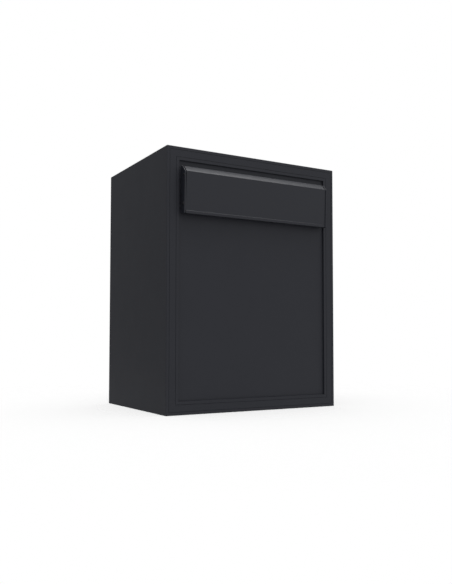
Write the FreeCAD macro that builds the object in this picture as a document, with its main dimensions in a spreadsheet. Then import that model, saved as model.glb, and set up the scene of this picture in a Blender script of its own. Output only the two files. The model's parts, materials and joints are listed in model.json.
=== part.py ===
import FreeCAD, Part
import math
import os
import re
import Sketcher

# Parcel drop box with a tilting hopper at the front and a locked retrieval door at the rear.
# Frame: +Z up, front facing -Y, origin at the centre of the casing's bottom face.
# Inside the bodies, y is measured from the casing's front plane; each body's Placement moves
# it back by half the casing depth.

DIMENSIONS = {
    # casing and its front
    "casing_width": 425,
    "casing_height": 550,
    "casing_depth": 330,
    "sheet_metal": 1.5,
    "outer_bend": 1.2,
    "rim_inset": 6.5,
    "frame_outer": 6.9,
    "frame_inner": 21.0,
    "frame_leg_depth": 18,
    "frame_inner_leg_depth": 12,
    "panel_outer": 21.4,
    "recess_inset": 27.8,
    "recess_depth": 4.4,
    "panel_flange_outer": 9.4,
    "edge_softening": 0.35,
    "fit_gap": 0.02,
    "hole_clearance": 0.3,
    # fixings between frame and panel
    "stud_radius": 2,
    "stud_inset": 14.2,
    "stud_end": 19,
    "stud_side_pitch": 185,
    "stud_top_pitch": 220,
    "nut_across_flats": 7,
    "nut_height": 3.2,
    # holes for fixing the box to a stand
    "base_pitch_wide": 300,
    "base_pitch_deep": 200,
    "base_hole_radius": 4.5,
    # drop opening
    "opening_half_width": 171,
    "opening_low": 416,
    "opening_high": 494,
    "seal_width": 5,
    "seal_front": 2.7,
    "seal_setback": 0.5,
    # pivot of the hopper: distance behind the front plane (negative: in front) and height
    "axis_back": -5,
    "axis_height": 419.5,
    "shaft_radius": 3,
    "shaft_half_length": 173,
    "running_gap": 0.05,
    "bush_radius": 4.2,
    "bush_flange_radius": 5.6,
    "bush_flange": 1.2,
    "bush_end": 1,
    "clip_gap": 0.3,
    "clip_thickness": 0.8,
    "clip_width": 2.2,
    "nose_radius": 6.2,
    "boss_radius": 5.8,
    "boss_half_length": 163.5,
    "web_thickness": 5,
    # flap section, distances in front of the front plane and heights
    "flap_half_width": 180.6,
    "end_cap_thickness": 4.4,
    "end_cap_rim": 0.5,
    "end_cap_corner": 2,
    "end_cap_heel": 5.5,
    "flap_skin": 1.6,
    "bevel_back_proud": 4.5,
    "bevel_back_height": 510,
    "bevel_front_proud": 17.5,
    "bevel_front_height": 497.3,
    "face_foot_proud": 13.3,
    "face_foot_height": 417.4,
    "lip_proud": 14.7,
    "lip_top_height": 415.8,
    "lip_taper": 0.3,
    "foot_gap": 1,
    "flap_foot_height": 410.8,
    "hook_depth": 9,
    "port_radius": 2.4,
    "port_bore": 1.4,
    "high_port_proud": 13.4,
    "high_port_height": 489.5,
    "low_port_proud": 10.3,
    "low_port_height": 431,
    "screw_length": 14,
    "screw_head": 1.2,
    "screw_head_radius": 2.8,
    "screw_clearance": 0.1,
    # tray and cheeks, in the closed position
    "tray_angle": 35,
    "tray_offset": 8,
    "tray_length": 183,
    "tray_half_width": 163.9,
    "liner_front": 1,
    "liner_flange_height": 500,
    "hook_margin": 2,
    "wing_half_width": 176,
    "wing_low": 432,
    "cheek_radius": 73.5,
    "cheek_high_angle": 40,
    "cheek_end": 178,
    "cheek_lip": 16,
    "cheek_toe": 3,
    "trim_cover": 7,
    "trim_wall": 1.5,
    "trim_side_gap": 0.4,
    "tray_rivet_pitch": 74,
    "tray_rivet_drop": 5.5,
    "rivet_radius": 2.2,
    "rivet_tail": 1.1,
    # fixed hopper sides, guard and opening stops
    "side_inner": 167.5,
    "side_plate": 2,
    "side_flange_end": 185,
    "side_flange_low": 6,
    "side_flange_high": 20,
    "side_foot_drop": 16,
    "side_foot_reach": 70,
    "side_step": 12,
    "side_roof_gap": 0.5,
    "neck_low": 3,
    "neck_high": 8,
    "side_rivet_offset": 9,
    "side_rivet_first": 7,
    "side_rivet_pitch": 30,
    "side_rivet_radius": 2.8,
    "side_rivet_head": 0.9,
    "guard_radius": 192,
    "guard_low_angle": 5,
    "guard_high_angle": 41,
    "guard_half_width": 185,
    "guard_gap": 0.1,
    "guard_roof_flange": 22,
    "guard_hem": 14,
    "stop_distance": 95.3,
    "stop_angle": 46.6,
    "stop_pin_radius": 2.5,
    "sleeve_radius": 5,
    "sleeve_length": 9,
    "stop_head": 1.2,
    "stop_head_radius": 4.4,
    "stop_nut": 3,
    "stop_thread_end": 4,
    # rear frame and door
    "rear_flange_front": 301,
    "rear_flange_inset": 25.5,
    "rear_leg_depth": 14,
    "door_inset": 4,
    "door_end_inset": 5.5,
    "door_front": 306,
    "door_back": 323.5,
    "door_flange": 20,
    "door_seal_outer": 19.2,
    "door_seal_inner": 23.7,
    "door_seal_back": 305.7,
    "pivot_side": 201,
    "pivot_back": 318,
    "pivot_radius": 2.5,
    "pivot_bush_radius": 3.8,
    "pivot_flange_radius": 5.4,
    "pivot_bush_flange": 0.7,
    "pivot_bush_length": 4.5,
    "pivot_plate": 2,
    "pivot_plate_wide": 26,
    "pivot_plate_deep": 24,
    "pivot_plate_margin": 14,
    "pivot_length": 12.5,
    "hat_half_width": 15,
    "hat_flange": 15,
    "hat_height": 10,
    "hat_margin": 40,
    "mat_thickness": 2,
    "mat_front": 22,
    "mat_back": 285,
    "mat_half_width": 207,
    "mat_hole_radius": 12,
    "groove_pitch": 20,
    "groove_width": 3,
    "groove_depth": 0.5,
    "groove_margin": 8,
    # lock and key cover
    "lock_side": 172,
    "lock_height": 275,
    "barrel_radius": 9,
    "barrel_head_radius": 11,
    "barrel_head": 3,
    "barrel_front": 303.5,
    "plug_radius": 6,
    "plug_recess": 0.4,
    "keyway_width": 1.6,
    "keyway_height": 7.2,
    "keyway_depth": 11.6,
    "cam_front": 297,
    "cam_screw_head": 2,
    "cam_screw_radius": 4.8,
    "cam_thickness": 2.5,
    "cam_half_width": 8,
    "cam_reach": 28,
    "tail_radius": 3.4,
    "lock_nut_flats": 23,
    "lock_nut_height": 4,
    "cover_radius": 8.5,
    "cover_thickness": 1.2,
    "cover_hang": 15,
    "cover_pin_radius": 1.5,
    "cover_gap": 0.4,
    "cover_neck": 3.6,
    "cover_eye_radius": 3.9,
    "cover_pin_head": 0.8,
    "cover_pin_head_radius": 2.9,
    "cover_shoulder_radius": 2.5,
    "cover_play": 0.1,
}

# Longer expressions that several pieces share.
HALF_WIDTH = "casing_width / 2"
DOOR_SKIN_FRONT = "(door_back - sheet_metal)"
REAR_FLANGE_BACK = "(rear_flange_front + sheet_metal)"
RECESS_FLOOR_BACK = "(recess_depth + sheet_metal)"
PLANES = {"x": ("YZ_Plane", 1), "y": ("XZ_Plane", -1), "z": ("XY_Plane", 1)}

doc = FreeCAD.newDocument("ParcelDropBox")
sheet = doc.addObject("Spreadsheet::Sheet", "Dimensions")
for row, (alias, number) in enumerate(DIMENSIONS.items(), start=1):
    sheet.set(f"A{row}", alias)
    sheet.set(f"B{row}", str(number))
    sheet.setAlias(f"B{row}", alias)
doc.recompute()

sub_parts = []


def formula(text):
    """Turn the dimension names in an expression into references to the sheet's cells."""
    def cell(match):
        word = match.group(0)
        return f"Dimensions.{word}" if word in DIMENSIONS else word
    return re.sub(r"[a-z_]+[a-z_0-9]*", cell, str(text))


def number_of(text):
    """Value of an expression, for placing geometry before its constraints take over."""
    return float(sheet.evalExpression(formula(text)))


def new_body(name):
    body = doc.addObject("PartDesign::Body", name)
    body.Label = name
    body.setExpression("Placement.Base.y", formula("-casing_depth / 2"))
    sub_parts.append(body)
    return body


# ---------------------------------------------------------------- outlines
# An outline is ("circle", x, y, radius) or ("path", [(x, y, bulge), ...]). bulge is None for a
# straight edge to the next point, or (centre x, centre y) for an arc round that centre.

def rect(x_low, y_low, x_high, y_high):
    corners = [(x_low, y_low), (x_high, y_low), (x_high, y_high), (x_low, y_high)]
    return ("path", [(x, y, None) for x, y in corners])


def polygon(*points):
    return ("path", [(point[0], point[1], point[2] if len(point) > 2 else None) for point in points])


def circle(x, y, radius):
    return ("circle", x, y, radius)


def ring(inset, end_inset=None):
    """Rectangle inside the front outline of the casing, in from the sides and from the ends."""
    end_inset = inset if end_inset is None else end_inset
    half = f"({HALF_WIDTH} - ({inset}))"
    return rect(f"-{half}", end_inset, half, f"casing_height - ({end_inset})")


def fix_point(sketch, geometry, corner, x, y, tag):
    for kind, text in (("DistanceX", x), ("DistanceY", y)):
        datum = Sketcher.Constraint(kind, -1, 1, geometry, corner, number_of(text))
        index = sketch.addConstraint(datum)
        label = f"{tag}_{kind[-1]}"
        sketch.renameConstraint(index, label)
        sketch.setExpression(f"Constraints.{label}", formula(text))


def draw_circle(sketch, outline, tag):
    _, x, y, radius = outline
    centre = FreeCAD.Vector(number_of(x), number_of(y), 0)
    shape = Part.Circle(centre, FreeCAD.Vector(0, 0, 1), number_of(radius))
    index = sketch.addGeometry(shape)
    fix_point(sketch, index, 3, x, y, tag)
    size = sketch.addConstraint(Sketcher.Constraint("Radius", index, number_of(radius)))
    sketch.renameConstraint(size, f"{tag}_R")
    sketch.setExpression(f"Constraints.{tag}_R", formula(radius))


def arc_between(start, end, centre):
    """Shorter arc from start to end round centre, with whether it runs from end to start."""
    first = math.atan2(start.y - centre.y, start.x - centre.x)
    last = math.atan2(end.y - centre.y, end.x - centre.x)
    turn = (last - first + math.pi) % (2 * math.pi) - math.pi
    low, high = (first, first + turn) if turn > 0 else (first + turn, first)
    base = Part.Circle(centre, FreeCAD.Vector(0, 0, 1), (start - centre).Length)
    return Part.ArcOfCircle(base, low, high), turn < 0


def draw_path(sketch, outline, tag):
    points = outline[1]
    places = [FreeCAD.Vector(number_of(x), number_of(y), 0) for x, y, _ in points]
    ends = []
    for index, (_, _, centre) in enumerate(points):
        start = places[index]
        end = places[(index + 1) % len(points)]
        if centre is None:
            ends.append((sketch.addGeometry(Part.LineSegment(start, end)), 1, 2))
            continue
        middle = FreeCAD.Vector(number_of(centre[0]), number_of(centre[1]), 0)
        arc, backwards = arc_between(start, end, middle)
        ends.append((sketch.addGeometry(arc),) + ((2, 1) if backwards else (1, 2)))
    for index, (geometry, first, _) in enumerate(ends):
        before, _, last = ends[index - 1]
        sketch.addConstraint(Sketcher.Constraint("Coincident", before, last, geometry, first))
    for index, (x, y, centre) in enumerate(points):
        geometry, first, _ = ends[index]
        fix_point(sketch, geometry, first, x, y, f"{tag}_p{index}")
        if centre is not None:
            fix_arc(sketch, geometry, points[index], f"{tag}_a{index}")


def fix_arc(sketch, geometry, point, tag):
    """Hold an arc by its radius; its two ends are held already."""
    x, y, centre = point
    radius = f"sqrt((({x}) - ({centre[0]}))^2 + (({y}) - ({centre[1]}))^2)"
    index = sketch.addConstraint(Sketcher.Constraint("Radius", geometry, number_of(radius)))
    sketch.renameConstraint(index, f"{tag}_R")
    sketch.setExpression(f"Constraints.{tag}_R", formula(radius))


# ---------------------------------------------------------------- features of a body

def slab(body, axis, low, high, *outlines, cut=False):
    """Pad or pocket outlines between two positions on an axis of the body."""
    role, sign = PLANES[axis]
    plane = next(item for item in body.Origin.OriginFeatures if item.Role == role)
    kind = "Pocket" if cut else "Pad"
    tag = f"{body.Name}_{kind}{len(body.Group)}"
    sketch = body.newObject("Sketcher::SketchObject", f"{tag}_sketch")
    sketch.AttachmentSupport = [(plane, "")]
    sketch.MapMode = "FlatFace"
    place = low if (sign > 0) != cut else high
    sketch.setExpression("AttachmentOffset.Base.z", formula(f"{sign} * ({place})"))
    for index, outline in enumerate(outlines):
        draw = draw_circle if outline[0] == "circle" else draw_path
        draw(sketch, outline, f"o{index}")
    before = body.Tip.Shape.Volume if body.Tip else 0
    feature = body.newObject(f"PartDesign::{kind}", tag)
    feature.Profile = sketch
    feature.setExpression("Length", formula(f"({high}) - ({low})"))
    sketch.Visibility = False
    doc.recompute()
    change = feature.Shape.Volume - before
    if (change >= 0) if cut else (change <= 0):
        raise RuntimeError(f"{tag} changed nothing")
    return feature


def soften(body, radius, chosen):
    """Round the edges of the body for which chosen(edge) is true."""
    tip = body.Tip
    names = [f"Edge{index}" for index, edge in enumerate(tip.Shape.Edges, start=1) if chosen(edge)]
    fillet = body.newObject("PartDesign::Fillet", f"{body.Name}_Fillet")
    fillet.Base = (tip, names)
    fillet.setExpression("Radius", formula(radius))
    doc.recompute()
    return fillet


def in_front_plane(edge):
    box = edge.BoundBox
    return max(abs(box.YMin), abs(box.YMax)) < 0.01


# ---------------------------------------------------------------- groups of small solids

def rod(name, axis, low, high, place, radius, bore=None):
    """Cylinder, or tube when a bore is given. place holds the other two coordinates."""
    turn = {"x": FreeCAD.Rotation(FreeCAD.Vector(0, 1, 0), 90),
            "y": FreeCAD.Rotation(FreeCAD.Vector(1, 0, 0), -90),
            "z": FreeCAD.Rotation()}[axis]
    others = [letter for letter in "xyz" if letter != axis]
    spot = dict(zip(others, place))
    spot[axis] = low
    solids = []
    for part_name, size in ((name, radius), (f"{name}_bore", bore)):
        if size is None:
            continue
        solid = doc.addObject("Part::Cylinder", part_name)
        solid.setExpression("Radius", formula(size))
        solid.setExpression("Height", formula(f"({high}) - ({low})"))
        put(solid, spot, turn)
        solids.append(solid)
    if bore is None:
        return solids[0]
    return join("Part::Cut", f"{name}_tube", solids)


def hexagon(name, low, high, x, z, flats, bore):
    """Hexagonal nut along y, with its bore."""
    prism = doc.addObject("Part::Prism", f"{name}_prism")
    prism.Polygon = 6
    prism.setExpression("Circumradius", formula(f"({flats}) / sqrt(3)"))
    prism.setExpression("Height", formula(f"({high}) - ({low})"))
    put(prism, {"x": x, "y": low, "z": z}, FreeCAD.Rotation(FreeCAD.Vector(1, 0, 0), -90))
    hole = rod(f"{name}_hole", "y", f"({low}) - 1", f"({high}) + 1", (x, z), bore)
    return join("Part::Cut", name, [prism, hole])


def put(solid, spot, turn):
    solid.Placement = FreeCAD.Placement(FreeCAD.Vector(), turn)
    for letter in "xyz":
        solid.setExpression(f"Placement.Base.{letter}", formula(spot[letter]))


def join(kind, name, solids):
    result = doc.addObject(kind, name)
    if kind == "Part::Cut":
        result.Base, result.Tool = solids
    elif kind == "Part::MultiFuse":
        result.Shapes = solids
    else:
        result.Links = solids
    return result


def group(name, solids):
    """One sub-part made of separate solids; its Placement carries the shift to mid-depth."""
    result = join("Part::Compound", f"{name}_group", solids)
    result.Label = name
    result.setExpression("Placement.Base.y", formula("-casing_depth / 2"))
    sub_parts.append(result)
    return result


# ---------------------------------------------------------------- casing and fixed front

def make_casing():
    body = new_body("casing")
    slab(body, "y", 0, "casing_depth", ring(0))
    slab(body, "y", "sheet_metal", "casing_depth", ring("sheet_metal"), cut=True)
    slab(body, "y", 0, "sheet_metal", ring("rim_inset"), cut=True)
    slab(body, "z", 0, "sheet_metal", *base_holes("base_hole_radius"), cut=True)
    width = DIMENSIONS["casing_width"]
    height = DIMENSIONS["casing_height"]

    def on_outer_bend(edge):
        box = edge.BoundBox
        at_side = abs(abs(box.Center.x) - width / 2) < 0.01
        at_end = min(abs(box.Center.z), abs(box.Center.z - height)) < 0.01
        long_way = box.YLength > width / 2
        front_side = in_front_plane(edge) and (at_side or at_end)
        return (at_side and at_end and long_way) or front_side
    soften(body, "outer_bend", on_outer_bend)


def base_holes(radius):
    """Four circles on the base's fixing pattern, centred under the casing."""
    middle = "casing_depth / 2"
    return [circle(f"{across} * base_pitch_wide / 2", f"{middle} + {along} * base_pitch_deep / 2", radius)
            for across in (-1, 1) for along in (-1, 1)]


def make_front_frame():
    body = new_body("front_frame")
    outer_leg = "frame_outer + sheet_metal"
    slab(body, "y", 0, "sheet_metal", ring("frame_outer"), ring("frame_inner"))
    slab(body, "y", "sheet_metal", "frame_leg_depth", ring("frame_outer"), ring(outer_leg))
    slab(body, "y", "frame_leg_depth", "frame_leg_depth + sheet_metal", ring("sheet_metal"), ring(outer_leg))
    slab(body, "y", "sheet_metal", "frame_inner_leg_depth", ring("frame_inner - sheet_metal"),
         ring("frame_inner"))
    soften(body, "edge_softening", in_front_plane)


def make_front_panel():
    body = new_body("front_panel")
    leg = "panel_outer + sheet_metal"
    flange_back = "frame_inner_leg_depth + sheet_metal"
    recess = ring("recess_inset")
    slab(body, "y", 0, "sheet_metal", ring("panel_outer"), recess)
    slab(body, "y", "sheet_metal", RECESS_FLOOR_BACK, ring("recess_inset - sheet_metal"), recess)
    slab(body, "y", "recess_depth", RECESS_FLOOR_BACK, recess)
    slab(body, "y", "sheet_metal", "frame_inner_leg_depth", ring("panel_outer"), ring(leg))
    slab(body, "y", "frame_inner_leg_depth", flange_back, ring("panel_flange_outer"), ring(leg))
    opening = rect("-opening_half_width", "opening_low", "opening_half_width", "opening_high")
    slab(body, "y", "recess_depth", RECESS_FLOOR_BACK, opening, cut=True)
    holes = [circle(x, z, "stud_radius + hole_clearance") for x, z in stud_places()]
    slab(body, "y", "frame_inner_leg_depth", flange_back, *holes, cut=True)
    soften(body, "edge_softening", in_front_plane)


def stud_places():
    side = f"({HALF_WIDTH} - stud_inset)"
    places = [(f"{sign} * {side}", f"casing_height / 2 + {step} * stud_side_pitch")
              for sign in (-1, 1) for step in (-1, 0, 1)]
    ends = ["stud_inset", "casing_height - stud_inset"]
    places += [(f"{sign} * stud_top_pitch / 2", end) for sign in (-1, 1) for end in ends]
    return places


def make_frame_fixings():
    nut_front = "frame_inner_leg_depth + sheet_metal"
    studs = []
    nuts = []
    for index, (x, z) in enumerate(stud_places()):
        studs.append(rod(f"stud_{index}", "y", "sheet_metal", "stud_end", (x, z), "stud_radius"))
        nuts.append(hexagon(f"nut_{index}", nut_front, f"{nut_front} + nut_height", x, z,
                            "nut_across_flats", "stud_radius + fit_gap"))
    group("frame_studs", studs)
    group("frame_nuts", nuts)


def make_opening_seal():
    body = new_body("opening_seal")
    inner = "(opening_half_width + seal_setback)"
    outer = f"({inner} + seal_width)"
    top = "opening_high + seal_setback"
    outline = polygon((f"-{outer}", "wing_low"), (f"-{inner}", "wing_low"), (f"-{inner}", top), (inner, top),
                      (inner, "wing_low"), (outer, "wing_low"), (outer, f"{top} + seal_width"),
                      (f"-{outer}", f"{top} + seal_width"))
    slab(body, "y", "seal_front", "recess_depth", outline)


# ---------------------------------------------------------------- hopper, turning about its shaft

def from_axis(back, up):
    """Point given by its distances behind and above the hopper's axis."""
    return (f"axis_back + ({back})", f"axis_height + ({up})")


def round_axis(radius, angle):
    return from_axis(f"({radius}) * cos({angle})", f"({radius}) * sin({angle})")


def along_tray(run, offset):
    """Point a run down the closed tray's slope, offset square to it from the axis."""
    return from_axis(f"({run}) * cos(tray_angle) + ({offset}) * sin(tray_angle)",
                     f"({offset}) * cos(tray_angle) - ({run}) * sin(tray_angle)")


def tray_height(back, offset):
    """Height above the axis of a line of the closed tray, at a distance behind the axis."""
    return f"(({offset}) - ({back}) * sin(tray_angle)) / cos(tray_angle)"


def make_flap_profile():
    body = new_body("flap_profile")
    inside = "(flap_half_width - end_cap_thickness)"
    skin = "flap_skin"
    slope = "(bevel_front_proud - bevel_back_proud)"
    bevel_inner = f"bevel_front_height - 0.4 * {skin}"
    shell = polygon(
        ("-bevel_back_proud", "bevel_back_height"),
        ("-bevel_front_proud", "bevel_front_height"),
        ("-face_foot_proud", "face_foot_height"),
        ("-lip_proud", "lip_top_height"),
        ("-lip_proud + lip_taper", "flap_foot_height"),
        ("axis_back - foot_gap", "flap_foot_height"),
        ("axis_back - foot_gap", f"flap_foot_height + {skin}"),
        (f"-face_foot_proud + {skin}", f"flap_foot_height + {skin}"),
        (f"-face_foot_proud + {skin}", "face_foot_height"),
        (f"-bevel_front_proud + {skin}", bevel_inner),
        ("-bevel_back_proud", f"{bevel_inner} + {slope} - {skin}"),
        ("-bevel_back_proud", "bevel_back_height - hook_depth"),
        (f"-bevel_back_proud + {skin}", "bevel_back_height - hook_depth"),
        (f"-bevel_back_proud + {skin}", "bevel_back_height"))
    slab(body, "x", f"-{inside}", inside, shell)
    web = rect("-face_foot_proud + flap_skin / 2", "axis_height - web_thickness / 2",
               "axis_back", "axis_height + web_thickness / 2")
    boss_span = ("-boss_half_length", "boss_half_length")
    slab(body, "x", *boss_span, web)
    slab(body, "x", *boss_span, circle("axis_back", "axis_height", "boss_radius"))
    slab(body, "x", *boss_span, circle("axis_back", "axis_height", "shaft_radius"), cut=True)
    for proud, height in (("high_port_proud", "high_port_height"), ("low_port_proud", "low_port_height")):
        slab(body, "x", f"-{inside}", inside, circle(f"-{proud}", height, "port_radius"))
        slab(body, "x", f"-{inside}", inside, circle(f"-{proud}", height, "port_bore"), cut=True)
    soften(body, "edge_softening", on_bevel_edge)


def on_bevel_edge(edge):
    box = edge.BoundBox
    heights = (DIMENSIONS["bevel_back_height"], DIMENSIONS["bevel_front_height"])
    prouds = (DIMENSIONS["bevel_back_proud"], DIMENSIONS["bevel_front_proud"])
    return box.XLength > 300 and any(abs(box.Center.z - height) < 0.01 and abs(box.Center.y + proud) < 0.01
                                     for height, proud in zip(heights, prouds))


def make_flap_end(name, side):
    body = new_body(name)
    inner = "(flap_half_width - end_cap_thickness)"
    rim = "end_cap_rim"
    back = "liner_front"
    outline = polygon(
        (back, f"bevel_back_height + {rim} - end_cap_corner"),
        (f"{back} - end_cap_corner", f"bevel_back_height + {rim}"),
        (f"-bevel_back_proud - 0.4 * {rim}", f"bevel_back_height + {rim}"),
        (f"-bevel_front_proud - {rim}", f"bevel_front_height + 0.4 * {rim}"),
        (f"-lip_proud - {rim}", f"flap_foot_height - {rim}"),
        ("axis_back - foot_gap", f"flap_foot_height - {rim}"),
        (back, "axis_height - end_cap_heel"))
    low, high = sided(side, inner, "flap_half_width")
    slab(body, "x", low, high, outline)
    for proud, height in (("high_port_proud", "high_port_height"), ("low_port_proud", "low_port_height")):
        slab(body, "x", low, high, circle(f"-{proud}", height, "port_bore + screw_clearance"), cut=True)
    outer = DIMENSIONS["flap_half_width"]
    soften(body, "edge_softening", lambda edge: edge.BoundBox.XLength < 0.01
           and abs(abs(edge.BoundBox.Center.x) - outer) < 0.01 and edge.Length > 9)


def sided(side, near, far):
    """Low and high positions of a span between two distances from the middle, on one side."""
    return (near, far) if side > 0 else (f"-({far})", f"-({near})")


def make_end_cap_screws():
    screws = []
    for side in (-1, 1):
        for level in ("high", "low"):
            place = (f"-{level}_port_proud", f"{level}_port_height")
            name = f"cap_screw_{level}_{'right' if side > 0 else 'left'}"
            inside = sided(side, "flap_half_width - screw_length", "flap_half_width")
            outside = sided(side, "flap_half_width", "flap_half_width + screw_head")
            shank = rod(f"{name}_shank", "x", *inside, place, "port_bore - fit_gap")
            head = rod(f"{name}_head", "x", *outside, place, "screw_head_radius")
            screws.append(join("Part::MultiFuse", name, [shank, head]))
    group("end_cap_screws", screws)


def make_hopper_tray():
    body = new_body("hopper_tray")
    metal = "sheet_metal"
    hook_back = "(-bevel_back_proud + flap_skin)"
    top = "bevel_back_height - hook_margin"
    liner_back = f"liner_front + {metal}"
    upper = [
        (hook_back, top),
        (hook_back, "liner_flange_height"),
        ("liner_front", "liner_flange_height")]
    upper_back = [
        (liner_back, f"liner_flange_height + {metal}"),
        (f"{hook_back} + {metal}", f"liner_flange_height + {metal}"),
        (f"{hook_back} + {metal}", top)]
    floor = [
        ("liner_front", f"axis_height + {tray_height('liner_front - axis_back', 'tray_offset')}"),
        along_tray("tray_length", "tray_offset"),
        along_tray("tray_length", f"tray_offset + {metal}"),
        (liner_back, f"axis_height + {tray_height(f'{liner_back} - axis_back', f'tray_offset + {metal}')}")]
    slab(body, "x", "-tray_half_width", "tray_half_width", polygon(*upper, *floor, *upper_back))
    wing = [("liner_front", "wing_low"), (liner_back, "wing_low")]
    slab(body, "x", "-wing_half_width", "wing_half_width", polygon(*upper, *wing, *upper_back))


def make_hopper_cheek(name, side):
    body = new_body(name)
    low, high = sided(side, "tray_half_width", "tray_half_width + sheet_metal")
    liner_back = "(liner_front + sheet_metal - axis_back)"
    corner = round_axis("cheek_radius", "cheek_high_angle")
    outline = polygon(
        (*from_axis(liner_back, f"sqrt(cheek_radius^2 - {liner_back}^2)"), ("axis_back", "axis_height")),
        corner,
        along_tray("cheek_end", "cheek_lip"),
        along_tray("cheek_end", "tray_offset"),
        along_tray("cheek_toe", "tray_offset"),
        from_axis("0", "0"),
        from_axis(liner_back, "wing_low - axis_height"))
    slab(body, "x", low, high, outline)
    slab(body, "x", low, high, circle("axis_back", "axis_height", "nose_radius"))
    slab(body, "x", low, high, circle("axis_back", "axis_height", "shaft_radius"), cut=True)


def make_tray_trim():
    body = new_body("tray_edge_trim")
    wall = "trim_wall"
    low = f"tray_offset - {wall}"
    high = f"tray_offset + sheet_metal + {wall}"
    start = "tray_length - trim_cover"
    outline = polygon(
        along_tray(start, low), along_tray(f"tray_length + 2 * {wall}", low),
        along_tray(f"tray_length + 2 * {wall}", high), along_tray(start, high),
        along_tray(start, "tray_offset + sheet_metal"),
        along_tray("tray_length", "tray_offset + sheet_metal"),
        along_tray("tray_length", "tray_offset"), along_tray(start, "tray_offset"))
    slab(body, "x", "-tray_half_width + trim_side_gap", "tray_half_width - trim_side_gap", outline)


def make_tray_rivets():
    hook_front = "-bevel_back_proud"
    flange_back = "-bevel_back_proud + flap_skin + sheet_metal"
    height = "bevel_back_height - tray_rivet_drop"
    rivets = []
    for step in range(-2, 3):
        x = f"{step} * tray_rivet_pitch"
        name = f"tray_rivet_{step + 2}"
        place = (x, height)
        rivets.append(rod(name, "y", flange_back, f"{flange_back} + rivet_tail", place, "rivet_radius"))
        rivets.append(rod(f"{name}_tail", "y", f"{hook_front} - rivet_tail", hook_front, place,
                          "rivet_radius"))
    group("tray_rivets", rivets)


def make_shaft():
    body = new_body("hopper_shaft")
    section = circle("axis_back", "axis_height", "shaft_radius")
    slab(body, "x", "-shaft_half_length", "shaft_half_length", section)
    clips = []
    for side in (-1, 1):
        near = "side_inner + side_plate + bush_end + clip_gap"
        low, high = sided(side, near, f"{near} + clip_thickness")
        clips.append(rod(f"clip_{side + 1}", "x", low, high, ("axis_back", "axis_height"),
                         "shaft_radius + clip_width", "shaft_radius"))
    group("shaft_clips", clips)


def make_hopper_side(name, side):
    """Fixed side plate: carries the shaft's bush, guides the parcel and holds the guard."""
    body = new_body(name)
    low, high = sided(side, "side_inner", "side_inner + side_plate")
    back = f"({RECESS_FLOOR_BACK} - axis_back)"
    roof = "casing_height - sheet_metal - axis_height - side_roof_gap"
    reach = "guard_radius - guard_gap"
    cleared = "frame_leg_depth + side_step"
    step_height = "casing_height - recess_inset - axis_height"
    outline = polygon(
        from_axis(back, "-side_foot_drop"),
        from_axis("side_foot_reach", "-side_foot_drop"),
        (*round_axis(reach, "guard_low_angle"), ("axis_back", "axis_height")),
        round_axis(reach, "guard_high_angle"),
        from_axis(f"({reach}) * cos(guard_high_angle)", roof),
        from_axis(cleared, roof),
        from_axis(cleared, step_height),
        from_axis(back, step_height))
    slab(body, "x", low, high, outline)
    neck = polygon(from_axis(back, "-neck_low"), from_axis("neck_high", "-neck_low"),
                   from_axis("0", "-nose_radius"), from_axis("0", "nose_radius"),
                   from_axis(back, "neck_high"))
    slab(body, "x", low, high, neck)
    slab(body, "x", low, high, circle("axis_back", "axis_height", "nose_radius"))
    slab(body, "x", low, high, circle("axis_back", "axis_height", "bush_radius"), cut=True)
    stop_x, stop_z = round_axis("stop_distance", "stop_angle")
    slab(body, "x", low, high, circle(stop_x, stop_z, "stop_pin_radius + fit_gap"), cut=True)
    near, far = sided(side, "side_inner", "side_flange_end")
    flange = rect(near, "axis_height - side_flange_low",
                  far, "casing_height - recess_inset - side_flange_high")
    slab(body, "y", RECESS_FLOOR_BACK, f"{RECESS_FLOOR_BACK} + sheet_metal", flange)


def make_side_rivets():
    front = "recess_depth"
    back = f"{RECESS_FLOOR_BACK} + sheet_metal"
    rivets = []
    for side in (-1, 1):
        for step in range(3):
            height = f"axis_height + side_rivet_first + {step} * side_rivet_pitch"
            place = (f"{side} * (opening_half_width + side_rivet_offset)", height)
            name = f"side_rivet_{side + 1}_{step}"
            rivets.append(rod(f"{name}_head", "y", f"{front} - side_rivet_head", front, place,
                              "side_rivet_radius"))
            rivets.append(rod(f"{name}_tail", "y", back, f"{back} + rivet_tail", place, "rivet_radius"))
    group("side_rivets", rivets)


def make_shaft_bushes():
    bushes = []
    axis = ("axis_back", "axis_height")
    bore = "shaft_radius + running_gap"
    for side in (-1, 1):
        inside = sided(side, "side_inner - bush_flange", "side_inner")
        through = sided(side, "side_inner", "side_inner + side_plate + bush_end")
        collar = rod(f"bush_collar_{side + 1}", "x", *inside, axis, "bush_flange_radius", bore)
        sleeve = rod(f"bush_sleeve_{side + 1}", "x", *through, axis, "bush_radius", bore)
        bushes.append(join("Part::MultiFuse", f"bush_{side + 1}", [collar, sleeve]))
    group("shaft_bushes", bushes)


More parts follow.
